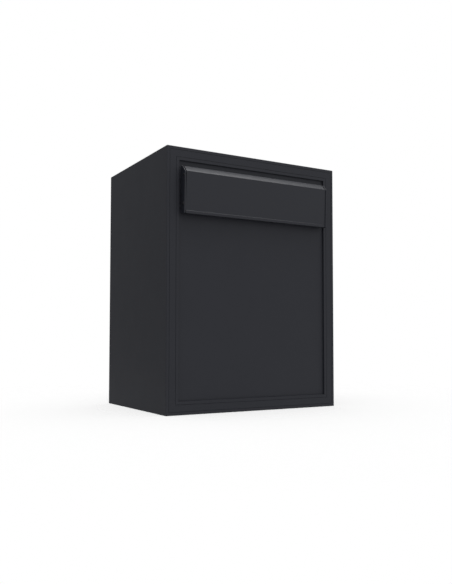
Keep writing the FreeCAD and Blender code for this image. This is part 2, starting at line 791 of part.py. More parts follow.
def make_guard():
    body = new_body("anti_theft_guard")
    centre = ("axis_back", "axis_height")
    outer = "guard_radius + sheet_metal"
    roof = "casing_height - sheet_metal - guard_gap"
    top_inner = "axis_back + guard_radius * cos(guard_high_angle)"
    top_outer = f"axis_back + ({outer}) * cos(guard_high_angle)"
    hem = "axis_height + guard_radius * sin(guard_low_angle)"
    outline = polygon(
        (*round_axis("guard_radius", "guard_low_angle"), centre),
        round_axis("guard_radius", "guard_high_angle"),
        (top_inner, roof),
        (f"{top_inner} + guard_roof_flange", roof),
        (f"{top_inner} + guard_roof_flange", f"{roof} - sheet_metal"),
        (top_outer, f"{roof} - sheet_metal"),
        (*round_axis(outer, "guard_high_angle"), centre),
        round_axis(outer, "guard_low_angle"),
        ("axis_back + guard_radius + guard_hem", hem),
        ("axis_back + guard_radius + guard_hem", f"{hem} - sheet_metal"),
        ("axis_back + guard_radius * cos(guard_low_angle)", f"{hem} - sheet_metal"))
    slab(body, "x", "-guard_half_width", "guard_half_width", outline)


def make_opening_stops():
    place = round_axis("stop_distance", "stop_angle")
    shank_start = "side_inner - sleeve_length"
    plate_back = "side_inner + side_plate"
    pins = []
    sleeves = []
    for side in (-1, 1):
        name = f"stop_pin_{side + 1}"
        shank = rod(f"{name}_shank", "x", *sided(side, shank_start, f"{plate_back} + stop_thread_end"),
                    place, "stop_pin_radius")
        head = rod(f"{name}_head", "x", *sided(side, f"{shank_start} - stop_head", shank_start),
                   place, "stop_head_radius")
        nut = rod(f"{name}_nut", "x", *sided(side, plate_back, f"{plate_back} + stop_nut"),
                  place, "stop_head_radius")
        pins.append(join("Part::MultiFuse", name, [shank, head, nut]))
        span = sided(side, f"{shank_start} + guard_gap", "side_inner - guard_gap")
        sleeves.append(rod(f"stop_sleeve_{side + 1}", "x", *span, place, "sleeve_radius",
                           "stop_pin_radius + fit_gap"))
    group("stop_pins", pins)
    group("stop_sleeves", sleeves)


# ---------------------------------------------------------------- rear frame, door and mat

def make_rear_frame():
    body = new_body("rear_frame")
    slab(body, "y", "rear_flange_front", REAR_FLANGE_BACK, ring("sheet_metal"), ring("rear_flange_inset"))
    slab(body, "y", "rear_flange_front - rear_leg_depth", "rear_flange_front",
         ring("sheet_metal"), ring("2 * sheet_metal"))


def make_door_seal():
    body = new_body("door_seal")
    slab(body, "y", REAR_FLANGE_BACK, "door_seal_back", ring("door_seal_outer"), ring("door_seal_inner"))


def make_rear_door():
    body = new_body("rear_door")
    walls = ring("door_inset + sheet_metal", "door_end_inset + sheet_metal")
    slab(body, "y", "door_front", "door_back", ring("door_inset", "door_end_inset"))
    slab(body, "y", "door_front", DOOR_SKIN_FRONT, ring("door_inset + door_flange"), cut=True)
    slab(body, "y", "door_front + sheet_metal", DOOR_SKIN_FRONT, walls, cut=True)
    lock_hole = circle("lock_side", "lock_height", "barrel_radius + screw_clearance")
    slab(body, "y", DOOR_SKIN_FRONT, "door_back", lock_hole, cut=True)
    pivot = circle("-pivot_side", "pivot_back", "pivot_bush_radius")
    slab(body, "z", "door_end_inset", "door_end_inset + sheet_metal", pivot, cut=True)
    slab(body, "z", "casing_height - door_end_inset - sheet_metal", "casing_height - door_end_inset", pivot,
         cut=True)
    back = DIMENSIONS["door_back"]
    soften(body, "sheet_metal / 2", lambda edge: edge.Length > 300 and abs(edge.BoundBox.YMin - back) < 0.01)


def make_door_stiffener():
    body = new_body("door_stiffener")
    metal = "sheet_metal"
    half = "hat_half_width"
    foot = "(hat_half_width + hat_flange)"
    front = f"({DOOR_SKIN_FRONT} - hat_height)"
    outline = polygon(
        (f"-{foot}", DOOR_SKIN_FRONT), (f"-{foot}", f"{DOOR_SKIN_FRONT} - {metal}"),
        (f"-{half}", f"{DOOR_SKIN_FRONT} - {metal}"), (f"-{half}", front),
        (half, front), (half, f"{DOOR_SKIN_FRONT} - {metal}"),
        (foot, f"{DOOR_SKIN_FRONT} - {metal}"), (foot, DOOR_SKIN_FRONT),
        (f"{half} - {metal}", DOOR_SKIN_FRONT), (f"{half} - {metal}", f"{front} + {metal}"),
        (f"-{half} + {metal}", f"{front} + {metal}"), (f"-{half} + {metal}", DOOR_SKIN_FRONT))
    slab(body, "z", "hat_margin", "casing_height - hat_margin", outline)


def make_door_pivots():
    """Plates welded under the roof and on the bottom carry pins; flanged bushes sit in the door."""
    centre = ("-pivot_side", "pivot_back")
    bore = "pivot_radius + running_gap"
    plates = []
    pins = []
    bushes = []
    for name, end, inward in (("low", "sheet_metal", 1), ("high", "casing_height - sheet_metal", -1)):
        def span(near, far, start=end, way=inward):
            low, high = (near, far) if way > 0 else (far, near)
            return f"{start} + {way} * ({low})", f"{start} + {way} * ({high})"
        plate = doc.addObject("Part::Box", f"pivot_plate_{name}")
        plate.setExpression("Length", formula("pivot_plate_wide"))
        plate.setExpression("Width", formula("pivot_plate_deep"))
        plate.setExpression("Height", formula("pivot_plate"))
        put(plate, {"x": f"-{HALF_WIDTH} + sheet_metal", "y": "pivot_back - pivot_plate_margin",
                    "z": span("0", "pivot_plate")[0]}, FreeCAD.Rotation())
        plates.append(plate)
        pins.append(rod(f"pivot_pin_{name}", "z", *span("pivot_plate", "pivot_length"), centre,
                        "pivot_radius"))
        skin = "(door_end_inset - sheet_metal)"
        collar = rod(f"pivot_collar_{name}", "z", *span(f"{skin} - pivot_bush_flange", skin), centre,
                     "pivot_flange_radius", bore)
        sleeve = rod(f"pivot_sleeve_{name}", "z", *span(skin, f"{skin} + pivot_bush_length"), centre,
                     "pivot_bush_radius", bore)
        bushes.append(join("Part::MultiFuse", f"pivot_bush_{name}", [collar, sleeve]))
    group("door_pivot_plates", plates)
    group("door_pivot_pins", pins)
    group("door_pivot_bushes", bushes)


def make_floor_mat():
    body = new_body("floor_mat")
    top = "sheet_metal + mat_thickness"
    slab(body, "z", "sheet_metal", top, rect("-mat_half_width", "mat_front", "mat_half_width", "mat_back"))
    slab(body, "z", "sheet_metal", top, *base_holes("mat_hole_radius"), cut=True)
    slab(body, "z", f"{top} - groove_depth", top, *mat_grooves(), cut=True)


def mat_grooves():
    """Shallow grooves that let water and parcels slide; they stay clear of the fixing holes."""
    half = "groove_width / 2"
    return [rect(f"{step} * groove_pitch - {half}", "mat_front + groove_margin",
                 f"{step} * groove_pitch + {half}", "mat_back - groove_margin") for step in range(-5, 6)]


# ---------------------------------------------------------------- lock and key cover

def make_lock():
    centre = circle("lock_side", "lock_height", "barrel_radius")
    bore = circle("lock_side", "lock_height", "plug_radius + running_gap")
    head_back = "door_back + barrel_head"
    barrel = new_body("lock_barrel")
    slab(barrel, "y", "barrel_front", "door_back", centre, bore)
    slab(barrel, "y", "door_back", head_back, circle("lock_side", "lock_height", "barrel_head_radius"), bore)
    outer = DIMENSIONS["door_back"] + DIMENSIONS["barrel_head"]
    soften(barrel, "2 * edge_softening", lambda edge: abs(edge.BoundBox.YMax - outer) < 0.01
           and abs(edge.BoundBox.YMin - outer) < 0.01)

    plug = new_body("lock_plug")
    face = f"{head_back} - plug_recess"
    tail_back = "barrel_front - 1"
    slab(plug, "y", tail_back, face, circle("lock_side", "lock_height", "plug_radius"))
    slab(plug, "y", "cam_front", tail_back, circle("lock_side", "lock_height", "tail_radius"))
    keyway = rect("lock_side - keyway_width / 2", "lock_height - keyway_height / 2",
                  "lock_side + keyway_width / 2", "lock_height + keyway_height / 2")
    slab(plug, "y", f"{face} - keyway_depth", face, keyway, cut=True)

    cam = new_body("lock_cam")
    cam_back = "cam_front + cam_thickness"
    tip = "(lock_height + cam_reach - cam_half_width)"
    outline = polygon(
        ("lock_side - cam_half_width", tip), ("lock_side - cam_half_width", "lock_height"),
        ("lock_side - 0.7 * cam_half_width", "lock_height - 0.7 * cam_half_width"),
        ("lock_side + 0.7 * cam_half_width", "lock_height - 0.7 * cam_half_width"),
        ("lock_side + cam_half_width", "lock_height"), ("lock_side + cam_half_width", tip),
        ("lock_side + 0.4 * cam_half_width", "lock_height + cam_reach"),
        ("lock_side - 0.4 * cam_half_width", "lock_height + cam_reach"))
    slab(cam, "y", "cam_front", cam_back, outline, circle("lock_side", "lock_height", "tail_radius"))

    screw = rod("cam_screw_head", "y", "cam_front - cam_screw_head", "cam_front",
                ("lock_side", "lock_height"), "cam_screw_radius")
    group("cam_screw", [screw])
    nut = hexagon("lock_ring", f"{DOOR_SKIN_FRONT} - lock_nut_height", DOOR_SKIN_FRONT,
                  "lock_side", "lock_height", "lock_nut_flats", "barrel_radius + fit_gap")
    group("lock_nut", [nut])


def make_key_cover():
    hinge_height = "lock_height + cover_hang"
    front = "door_back + barrel_head + cover_gap"
    back = f"{front} + cover_thickness"
    cover = new_body("keyhole_cover")
    slab(cover, "y", front, back, circle("lock_side", "lock_height", "cover_radius"))
    neck = polygon(("lock_side - 0.9 * cover_radius", "lock_height + 0.3 * cover_radius"),
                   ("lock_side + 0.9 * cover_radius", "lock_height + 0.3 * cover_radius"),
                   ("lock_side + cover_neck", f"{hinge_height} + 1"),
                   ("lock_side - cover_neck", f"{hinge_height} + 1"))
    slab(cover, "y", front, back, neck)
    slab(cover, "y", front, back, circle("lock_side", hinge_height, "cover_eye_radius"))
    eye = circle("lock_side", hinge_height, "cover_pin_radius + running_gap")
    slab(cover, "y", front, back, eye, cut=True)
    place = ("lock_side", hinge_height)
    shoulder = rod("cover_shoulder", "y", "door_back", f"{front} - cover_play", place,
                   "cover_shoulder_radius")
    shank = rod("cover_shank", "y", f"{front} - cover_play", f"{back} + cover_play", place,
                "cover_pin_radius")
    head = rod("cover_head", "y", f"{back} + cover_play",
               f"{back} + cover_play + cover_pin_head", place, "cover_pin_head_radius")
    group("cover_pin", [join("Part::MultiFuse", "cover_pin_solid", [shoulder, shank, head])])


# ---------------------------------------------------------------- build, check and write

make_casing()
make_front_frame()
make_front_panel()
make_frame_fixings()
make_opening_seal()
make_flap_profile()
make_flap_end("flap_end_left", -1)
make_flap_end("flap_end_right", 1)
make_end_cap_screws()
make_hopper_tray()
make_hopper_cheek("hopper_cheek_left", -1)
make_hopper_cheek("hopper_cheek_right", 1)
make_tray_trim()
make_tray_rivets()
make_shaft()
make_hopper_side("hopper_side_left", -1)
make_hopper_side("hopper_side_right", 1)
make_side_rivets()
make_shaft_bushes()
make_guard()
make_opening_stops()
make_rear_frame()
make_door_seal()
make_rear_door()
make_door_stiffener()
make_door_pivots()
make_floor_mat()
make_lock()
make_key_cover()
doc.recompute()

for item in doc.Objects:
    if "Invalid" in item.State or "Error" in item.State:
        raise RuntimeError(f"{item.Name} did not recompute: {item.State}")
for item in sub_parts:
    if item.Shape.isNull() or not item.Shape.isValid() or not item.Shape.Solids:
        raise RuntimeError(f"{item.Label} has no valid solid")

os.makedirs("parts", exist_ok=True)
for item in sub_parts:
    item.Shape.exportStep(os.path.join("parts", f"{item.Label}.step"))
print(len(sub_parts), "sub-parts written")
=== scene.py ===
import json
import math

import bmesh
import bpy
from mathutils import Matrix, Vector


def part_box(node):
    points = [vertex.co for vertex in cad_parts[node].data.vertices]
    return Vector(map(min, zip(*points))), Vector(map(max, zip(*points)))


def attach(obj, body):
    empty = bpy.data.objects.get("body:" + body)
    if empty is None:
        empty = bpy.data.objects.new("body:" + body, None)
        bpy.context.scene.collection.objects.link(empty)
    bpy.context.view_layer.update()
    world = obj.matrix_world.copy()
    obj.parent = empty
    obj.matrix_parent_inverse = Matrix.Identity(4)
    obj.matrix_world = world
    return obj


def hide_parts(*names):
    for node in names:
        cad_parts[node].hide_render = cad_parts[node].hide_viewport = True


# Parcel drop box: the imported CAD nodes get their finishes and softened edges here, and small
# turned, threaded and moulded pieces are replaced by detailed ones. Everything is in metres.

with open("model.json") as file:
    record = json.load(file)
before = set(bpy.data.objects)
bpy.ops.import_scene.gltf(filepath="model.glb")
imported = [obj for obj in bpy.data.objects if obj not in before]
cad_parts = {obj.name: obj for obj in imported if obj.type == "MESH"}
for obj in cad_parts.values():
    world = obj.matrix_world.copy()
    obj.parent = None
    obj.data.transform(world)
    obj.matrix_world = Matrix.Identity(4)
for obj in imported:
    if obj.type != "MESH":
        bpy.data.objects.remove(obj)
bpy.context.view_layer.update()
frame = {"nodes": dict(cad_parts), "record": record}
nodes = frame["nodes"]
scene = bpy.context.scene

MM = 0.001
CASING_LOW, CASING_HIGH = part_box("casing")
BODIES = frame["record"]["behaviour"]["bodies"]
BODY_OF = {node: body for body, members in BODIES.items() for node in members}
SLOT_OF = {entry["node"]: entry["material_slot"] for entry in frame["record"]["subparts"]}

# Points round a turned form. Hexagons take a multiple of six, so that their corners are sharp.
ROUND_STEPS = 32
HEX_STEPS = 36
LOCK_STEPS = 48
STUD_STEPS = 16

# Threads: rows of points for each turn, the plain run before a thread, its depth on small screws
ROWS_PER_TURN = 6
THREAD_START = 0.1 * MM
SCREW_PITCH = 0.8 * MM
STUD_PITCH = 0.7 * MM
STUD_THREAD_DEPTH = 0.35 * MM

# Base colours of the powder coat
COAT_DARK = (0.0188, 0.0204, 0.0280)
COAT_LIGHT = (0.0196, 0.0212, 0.0290)

# Light dome: its brightest direction, where its rise starts, and its lowest and highest strength
DOME_SIDE = (0.33, -0.80, 0.50)
DOME_FROM = -0.3
DOME_LOW = 0.36
DOME_HIGH = 0.94

# Softbox above the box
TOP_PLACE = (-0.06, 0.1, 2.4)
TOP_SIZE = (2.6, 2.4)
TOP_WATTS = 55

# Floor: half its side, its level, how solid it is, and from where to where it fades out
FLOOR_HALF = 6.0
FLOOR_LEVEL = -0.3 * MM
FLOOR_SOLID = 0.3
FLOOR_FADE = (0.22, 0.95)

# Camera: place in metres, direction in degrees, lens and shift
CAMERA_PLACE = (-0.7872, -1.4327, 0.1531)
CAMERA_YAW = 30.78
CAMERA_PITCH = 2.75
CAMERA_LENS = 42.40
CAMERA_SHIFT = (-0.0295, 0.0250)

# How far the sharp edges of each CAD node are rounded, in mm
SOFT_EDGE = {
    "casing": 0.5, "front_frame": 0.3, "front_panel": 0.3, "rear_frame": 0.3, "rear_door": 0.3,
    "door_stiffener": 0.3, "anti_theft_guard": 0.3, "hopper_side_left": 0.3, "hopper_side_right": 0.3,
    "hopper_tray": 0.3, "hopper_cheek_left": 0.3, "hopper_cheek_right": 0.3, "flap_profile": 0.2,
    "door_pivot_plates": 0.4, "door_pivot_pins": 0.4, "door_pivot_bushes": 0.2, "shaft_bushes": 0.25,
    "hopper_shaft": 0.5, "lock_plug": 0.2, "lock_cam": 0.4, "tray_edge_trim": 0.7, "stop_sleeves": 0.6,
    "floor_mat": 0.25, "keyhole_cover": 0.35,
}


# ---------------------------------------------------------------- material helpers

def new_material(name):
    material = bpy.data.materials.new(name)
    material.use_nodes = True
    tree = material.node_tree
    tree.nodes.clear()
    output = tree.nodes.new("ShaderNodeOutputMaterial")
    shader = tree.nodes.new("ShaderNodeBsdfPrincipled")
    tree.links.new(shader.outputs["BSDF"], output.inputs["Surface"])
    return material, tree, shader


def place_coordinates(tree, stretch=(1, 1, 1)):
    """Object coordinates in metres, so patterns keep their real scale and ride with the piece."""
    where = tree.nodes.new("ShaderNodeTexCoord").outputs["Object"]
    if stretch == (1, 1, 1):
        return where
    mapping = tree.nodes.new("ShaderNodeMapping")
    mapping.inputs["Scale"].default_value = stretch
    tree.links.new(where, mapping.inputs["Vector"])
    return mapping.outputs["Vector"]


def noise(tree, where, size, detail=3.0, roughness=0.5):
    """Noise with features about size metres across."""
    node = tree.nodes.new("ShaderNodeTexNoise")
    node.inputs["Scale"].default_value = 1.0 / size
    node.inputs["Detail"].default_value = detail
    node.inputs["Roughness"].default_value = roughness
    tree.links.new(where, node.inputs["Vector"])
    return node.outputs["Fac"]


def spread(tree, value, low, high, start=0.3, end=0.7):
    """Map a value to the range low to high. Noise lies mostly between 0.3 and 0.7."""
    node = tree.nodes.new("ShaderNodeMapRange")
    node.inputs["From Min"].default_value = start
    node.inputs["From Max"].default_value = end
    node.inputs["To Min"].default_value = low
    node.inputs["To Max"].default_value = high
    tree.links.new(value, node.inputs["Value"])
    return node.outputs["Result"]


def blend_colours(tree, amount, first, second):
    """Mix two colours. The second may be the output of another mix."""
    node = tree.nodes.new("ShaderNodeMix")
    node.data_type = "RGBA"
    tree.links.new(amount, node.inputs["Factor"])
    for socket, colour in (("A", first), ("B", second)):
        if isinstance(colour, tuple):
            node.inputs[socket].default_value = (*colour, 1.0)
        else:
            tree.links.new(colour, node.inputs[socket])
    return node.outputs["Result"]


def bump(tree, shader, height, distance, strength=1.0):
    node = tree.nodes.new("ShaderNodeBump")
    node.inputs["Distance"].default_value = distance
    node.inputs["Strength"].default_value = strength
    tree.links.new(height, node.inputs["Height"])
    tree.links.new(node.outputs["Normal"], shader.inputs["Normal"])


# ---------------------------------------------------------------- materials

def powder_coat(name, dark, light, roughness, grain, depth):
    """Powder coat: an even fine orange peel and faint drifts of tone and gloss."""
    material, tree, shader = new_material(name)
    where = place_coordinates(tree)
    drift = spread(tree, noise(tree, where, 0.09, 2.0), 0.0, 1.0)
    body = blend_colours(tree, drift, dark, light)
    fine = noise(tree, where, grain, 4.0, 0.55)
    tree.links.new(body, shader.inputs["Base Color"])
    smudges = noise(tree, where, 0.05, 3.0, 0.6)
    uneven = tree.nodes.new("ShaderNodeMath")
    uneven.operation = "MULTIPLY"
    tree.links.new(spread(tree, fine, 0.92, 1.08), uneven.inputs[0])
    tree.links.new(spread(tree, smudges, roughness - 0.015, roughness + 0.015), uneven.inputs[1])
    tree.links.new(uneven.outputs["Value"], shader.inputs["Roughness"])
    bump(tree, shader, fine, depth, 0.6)
    shader.inputs["Specular IOR Level"].default_value = 0.35
    return material


def rubber(name):
    """Moulded rubber: nearly black, a pale bloom in patches, a fine matt skin."""
    material, tree, shader = new_material(name)
    where = place_coordinates(tree)
    bloom = spread(tree, noise(tree, where, 0.03, 5.0), 0.0, 1.0)
    colour = blend_colours(tree, bloom, (0.0125, 0.0125, 0.0135), (0.0165, 0.0165, 0.0175))
    tree.links.new(colour, shader.inputs["Base Color"])
    tree.links.new(spread(tree, bloom, 0.64, 0.72), shader.inputs["Roughness"])
    bump(tree, shader, noise(tree, where, 0.0007, 4.0), 0.00004, 0.5)
    return material


def plated(name, dark, light, roughness, metal=1.0):
    """Plated metal: fine drawn lines, faint clouds of tone."""
    material, tree, shader = new_material(name)
    where = place_coordinates(tree)
    clouds = spread(tree, noise(tree, where, 0.012, 3.0), 0.0, 1.0)
    tree.links.new(blend_colours(tree, clouds, dark, light), shader.inputs["Base Color"])
    lines = noise(tree, place_coordinates(tree, (0.1, 1, 1)), 0.0004, 2.0)
    tree.links.new(spread(tree, lines, roughness - 0.07, roughness + 0.07), shader.inputs["Roughness"])
    bump(tree, shader, lines, 0.00001, 0.5)
    shader.inputs["Metallic"].default_value = metal
    return material


def nylon(name):
    material, tree, shader = new_material(name)
    where = place_coordinates(tree)
    drift = spread(tree, noise(tree, where, 0.006, 3.0), 0.0, 1.0)
    tree.links.new(blend_colours(tree, drift, (0.60, 0.58, 0.52), (0.70, 0.68, 0.63)),
                   shader.inputs["Base Color"])
    tree.links.new(spread(tree, noise(tree, where, 0.001), 0.35, 0.5), shader.inputs["Roughness"])
    bump(tree, shader, noise(tree, where, 0.0008), 0.00002, 0.4)
    shader.inputs["Subsurface Weight"].default_value = 0.1
    return material


MATERIALS = {
    "anthracite_steel": powder_coat("anthracite_steel", COAT_DARK, COAT_LIGHT, 0.56, 0.0006, 0.00004),
    "anthracite_flap": powder_coat("anthracite_flap", COAT_DARK, COAT_LIGHT, 0.36, 0.0009, 0.00002),
    "zinc_steel": plated("zinc_steel", (0.50, 0.51, 0.53), (0.66, 0.67, 0.69), 0.34),
    "black_zinc": plated("black_zinc", (0.020, 0.020, 0.022), (0.035, 0.035, 0.038), 0.42, metal=0.5),
    "black_rubber": rubber("black_rubber"),
    "nylon": nylon("nylon"),
    "lock_nickel": plated("lock_nickel", (0.56, 0.55, 0.52), (0.68, 0.67, 0.64), 0.22),
    "lock_brass": plated("lock_brass", (0.58, 0.42, 0.18), (0.74, 0.58, 0.30), 0.3),
}


# ---------------------------------------------------------------- carried-over CAD nodes

def soften_edges(piece, width):
    """Clean the mesh of a CAD piece and round its sharp edges by width metres."""
    weld = piece.modifiers.new("weld", "WELD")
    weld.merge_threshold = 0.002 * MM
    flatten = piece.modifiers.new("flatten", "DECIMATE")
    flatten.decimate_type = "DISSOLVE"
    flatten.angle_limit = math.radians(0.5)
    add_bevel(piece, width, 2)


def add_bevel(piece, width, segments):
    """Round the sharp edges and shade the piece by the areas of its faces."""
    bevel = piece.modifiers.new("bevel", "BEVEL")
    bevel.width = width
    bevel.segments = segments
    bevel.limit_method = "ANGLE"
    bevel.angle_limit = math.radians(40)
    normals = piece.modifiers.new("normals", "WEIGHTED_NORMAL")
    normals.keep_sharp = True


def finish_cad_nodes():
    """Give every CAD node the finish of its material slot, and soften its edges."""
    for name, piece in nodes.items():
        piece.data.materials.clear()
        piece.data.materials.append(MATERIALS[SLOT_OF[name]])
        if name in SOFT_EDGE:
            soften_edges(piece, SOFT_EDGE[name] * MM)


# ---------------------------------------------------------------- mesh helpers

def solids_of(name):
    """Lowest and highest corner of each separate solid of a CAD node, in order of their places."""
    mesh = bmesh.new()
    mesh.from_mesh(nodes[name].data)
    bmesh.ops.remove_doubles(mesh, verts=mesh.verts, dist=0.001 * MM)
    boxes = []
    waiting = set(mesh.verts)
    while waiting:
        found = [waiting.pop()]
        for vert in found:
            for edge in vert.link_edges:
                other = edge.other_vert(vert)
                if other in waiting:
                    waiting.discard(other)
                    found.append(other)
        places = [vert.co for vert in found]
        low = Vector(min(place[axis] for place in places) for axis in range(3))
        high = Vector(max(place[axis] for place in places) for axis in range(3))
        boxes.append((low, high))
    mesh.free()
    return sorted(boxes, key=lambda box: tuple(round(value, 5) for value in box[0] + box[1]))


def piece_from(mesh, name, node, stands_for=(), smooth_angle=35):
    """Make an object from a bmesh, riding on the body of a CAD node and finished like it."""
    bmesh.ops.recalc_face_normals(mesh, faces=mesh.faces)
    for edge in mesh.edges:
        edge.smooth = edge.calc_face_angle(0) < math.radians(smooth_angle)
    for face in mesh.faces:
        face.smooth = True
    data = bpy.data.meshes.new(name)
    mesh.to_mesh(data)
    mesh.free()
    piece = bpy.data.objects.new(name, data)
    scene.collection.objects.link(piece)
    data.materials.append(MATERIALS[SLOT_OF[node]])
    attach(piece, BODY_OF[node])
    if stands_for:
        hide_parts(*stands_for)
    return piece


def facing(place, direction):
    """Matrix that puts local +Z along direction at place."""
    turn = Vector(direction).to_track_quat("Z", "Y").to_matrix().to_4x4()
    return Matrix.Translation(place) @ turn


def across(radius, angle, sides):
    """Radius of a regular outline with that many sides, 0 for a circle, at an angle."""
    if sides == 0:
        return radius
    wedge = 2 * math.pi / sides
    return radius / math.cos((angle % wedge) - wedge / 2)


def ring_loops(rings, steps=ROUND_STEPS):
    """Loops of points round local Z. Each ring is (radius, height) or (radius, height, sides)."""
    loops = []
    for radius, height, *rest in rings:
        sides = rest[0] if rest else 0
        loop = []
        for step in range(steps):
            angle = 2 * math.pi * step / steps
            reach = across(radius, angle, sides)
            loop.append((reach * math.cos(angle), reach * math.sin(angle), height))
        loops.append(loop)
    return loops


def thread_loops(radius, start, end, pitch, depth, steps=ROUND_STEPS, point=0.0):
    """Loops of a right-hand thread from one height to another, its far end thinned by point."""
    rows = int(abs(end - start) / pitch * ROWS_PER_TURN) + 1
    loops = []
    for row in range(rows + 1):
        height = start + (end - start) * row / rows
        left = abs(end - height) / pitch
        thin = 1 - point * max(0.0, 1 - left)
        loop = []
        for step in range(steps):
            crest = abs(((height / pitch - step / steps) % 1.0) * 2 - 1)
            reach = (radius - depth * crest) * thin
            angle = 2 * math.pi * step / steps
            loop.append((reach * math.cos(angle), reach * math.sin(angle), height))
        loops.append(loop)
    return loops


def skin(mesh, matrix, loops, hollow=False):
    """Add a closed form through loops of points, with flat ends or with its last loop joined to its first."""
    rings = [[mesh.verts.new(matrix @ Vector(point)) for point in loop] for loop in loops]
    pairs = list(zip(rings, rings[1:]))
    if hollow:
        pairs.append((rings[-1], rings[0]))
    else:
        mesh.faces.new(list(reversed(rings[0])))
        mesh.faces.new(rings[-1])
    count = len(rings[0])
    for lower, upper in pairs:
        for step in range(count):
            after = (step + 1) % count
            mesh.faces.new((lower[step], lower[after], upper[after], upper[step]))


def turned(mesh, matrix, rings, steps=ROUND_STEPS, hollow=False):
    skin(mesh, matrix, ring_loops(rings, steps), hollow)


def swept_frame(mesh, corners, corner_radius, section, closed=True):
    """Sweep a closed section (outward, back) along a rounded outline (x, z) of a door or panel."""
    loops = []
    for (x, z), (out_x, out_z) in rounded_outline(corners, corner_radius, closed):
        loops.append([(x + out * out_x, back, z + out * out_z) for out, back in section])
    skin(mesh, Matrix(), loops, hollow=closed)


def rounded_outline(corners, radius, closed, steps=8):
    """Stations (place, outward) along an outline given counter-clockwise, its corners rounded."""
    count = len(corners)
    stations = []
    for index, corner in enumerate(corners):
        here = Vector(corner)
        before = (Vector(corners[index - 1]) - here).normalized()
        after = (Vector(corners[(index + 1) % count]) - here).normalized()
        if not closed and index in (0, count - 1):
            along = after if index == 0 else -before
            stations.append((here, Vector((along.y, -along.x))))
            continue
        centre = here + (before + after) * radius
        start = -after
        end = -before
        for step in range(steps + 1):
            share = step / steps * math.pi / 2
            outward = start * math.cos(share) + end * math.sin(share)
            stations.append((centre + outward * radius, outward))
    return stations


# ---------------------------------------------------------------- fasteners

def make_frame_fixings():
    """Welded studs with a real thread, and flanged nuts."""
    studs = bmesh.new()
    for low, high in solids_of("frame_studs"):
        middle = (low + high) / 2
        radius = (high.x - low.x) / 2
        weld = ring_loops([(1.35 * radius, 0), (1.3 * radius, 0.4 * MM), (radius, 0.9 * MM)], STUD_STEPS)
        thread = thread_loops(radius, 0.9 * MM + THREAD_START, high.y - low.y, STUD_PITCH, STUD_THREAD_DEPTH,
                              STUD_STEPS, point=0.35)
        skin(studs, facing((middle.x, low.y, middle.z), (0, 1, 0)), weld + thread)
    piece_from(studs, "threaded_studs", "frame_studs", ["frame_studs"], smooth_angle=60)

    nuts = bmesh.new()
    for low, high in solids_of("frame_nuts"):
        middle = (low + high) / 2
        flats = min(high.x - low.x, high.z - low.z) / 2
        start = facing((middle.x, low.y, middle.z), (0, 1, 0))
        flanged_nut(nuts, start, flats, high.y - low.y, 0.57 * flats)
    piece_from(nuts, "flanged_nuts", "frame_nuts", ["frame_nuts"])


def flanged_nut(mesh, matrix, flats, height, bore):
    """Hexagon nut on a round flange, its upper corners turned off, with its hole."""
    turned(mesh, matrix, [
        (1.3 * flats, 0), (1.3 * flats, 0.12 * height), (1.02 * flats, 0.25 * height),
        (flats, 0.26 * height, 6), (flats, 0.86 * height, 6), (0.97 * flats, height),
        (1.15 * bore, height), (bore, 0.93 * height), (bore, 0)], steps=HEX_STEPS, hollow=True)


def socket_head(radius, height, socket):
    """Rings of a low round head with a hexagon socket, from the socket's floor out to its rim."""
    return [
        (socket, -0.25 * height, 6), (socket, -0.96 * height, 6), (1.12 * socket, -height),
        (0.75 * radius, -height), (0.93 * radius, -0.7 * height), (radius, -0.35 * height), (radius, 0)]


def blind_rivet(mesh, matrix, radius, height):
    """Domed rivet head with the broken-off mandrel sunk in its middle."""
    turned(mesh, matrix, [
        (radius, 0), (0.97 * radius, 0.3 * height), (0.83 * radius, 0.66 * height),
        (0.6 * radius, 0.9 * height), (0.36 * radius, height), (0.3 * radius, 0.97 * height),
        (0.27 * radius, 0.62 * height), (0.12 * radius, 0.7 * height)])


def rivet_tail(mesh, matrix, radius, height):
    """Blind side of a rivet: a bulb with the end of the mandrel."""
    turned(mesh, matrix, [
        (0.86 * radius, 0), (radius, 0.3 * height), (0.95 * radius, 0.62 * height),
        (0.6 * radius, 0.88 * height), (0.42 * radius, 0.9 * height), (0.38 * radius, height),
        (0.1 * radius, height)])


def make_rivets():
    """Rivets of the side plates, with their heads in front, and of the tray, with their heads behind."""
    for node, name, heads_in_front in (("side_rivets", "side_rivet_heads", True),
                                       ("tray_rivets", "tray_rivet_heads", False)):
        boxes = solids_of(node)
        front = min(low.y for low, high in boxes)
        mesh = bmesh.new()
        for low, high in boxes:
            middle = (low + high) / 2
            is_front = low.y - front < 0.1 * MM
            place = (middle.x, high.y if is_front else low.y, middle.z)
            end = blind_rivet if is_front == heads_in_front else rivet_tail
            end(mesh, facing(place, (0, -1 if is_front else 1, 0)), (high.x - low.x) / 2, high.y - low.y)
        piece_from(mesh, name, node, [node])


def make_cap_screws():
    """Screws of the flap's end caps: low round head outside, threaded shank inside."""
    mesh = bmesh.new()
    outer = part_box("flap_end_right")[1].x
    for low, high in solids_of("end_cap_screws"):
        middle = (low + high) / 2
        side = math.copysign(1, middle.x)
        radius = (high.y - low.y) / 2
        head = max(high.x, -low.x) - outer
        length = high.x - low.x - head
        thread = thread_loops(0.48 * radius, 0, length, SCREW_PITCH, 0.25 * MM, HEX_STEPS, point=0.35)
        place = facing((side * outer, middle.y, middle.z), (-side, 0, 0))
        skin(mesh, place, ring_loops(socket_head(radius, head, 0.36 * radius), HEX_STEPS) + thread)
    piece_from(mesh, "cap_screws", "end_cap_screws", ["end_cap_screws"])


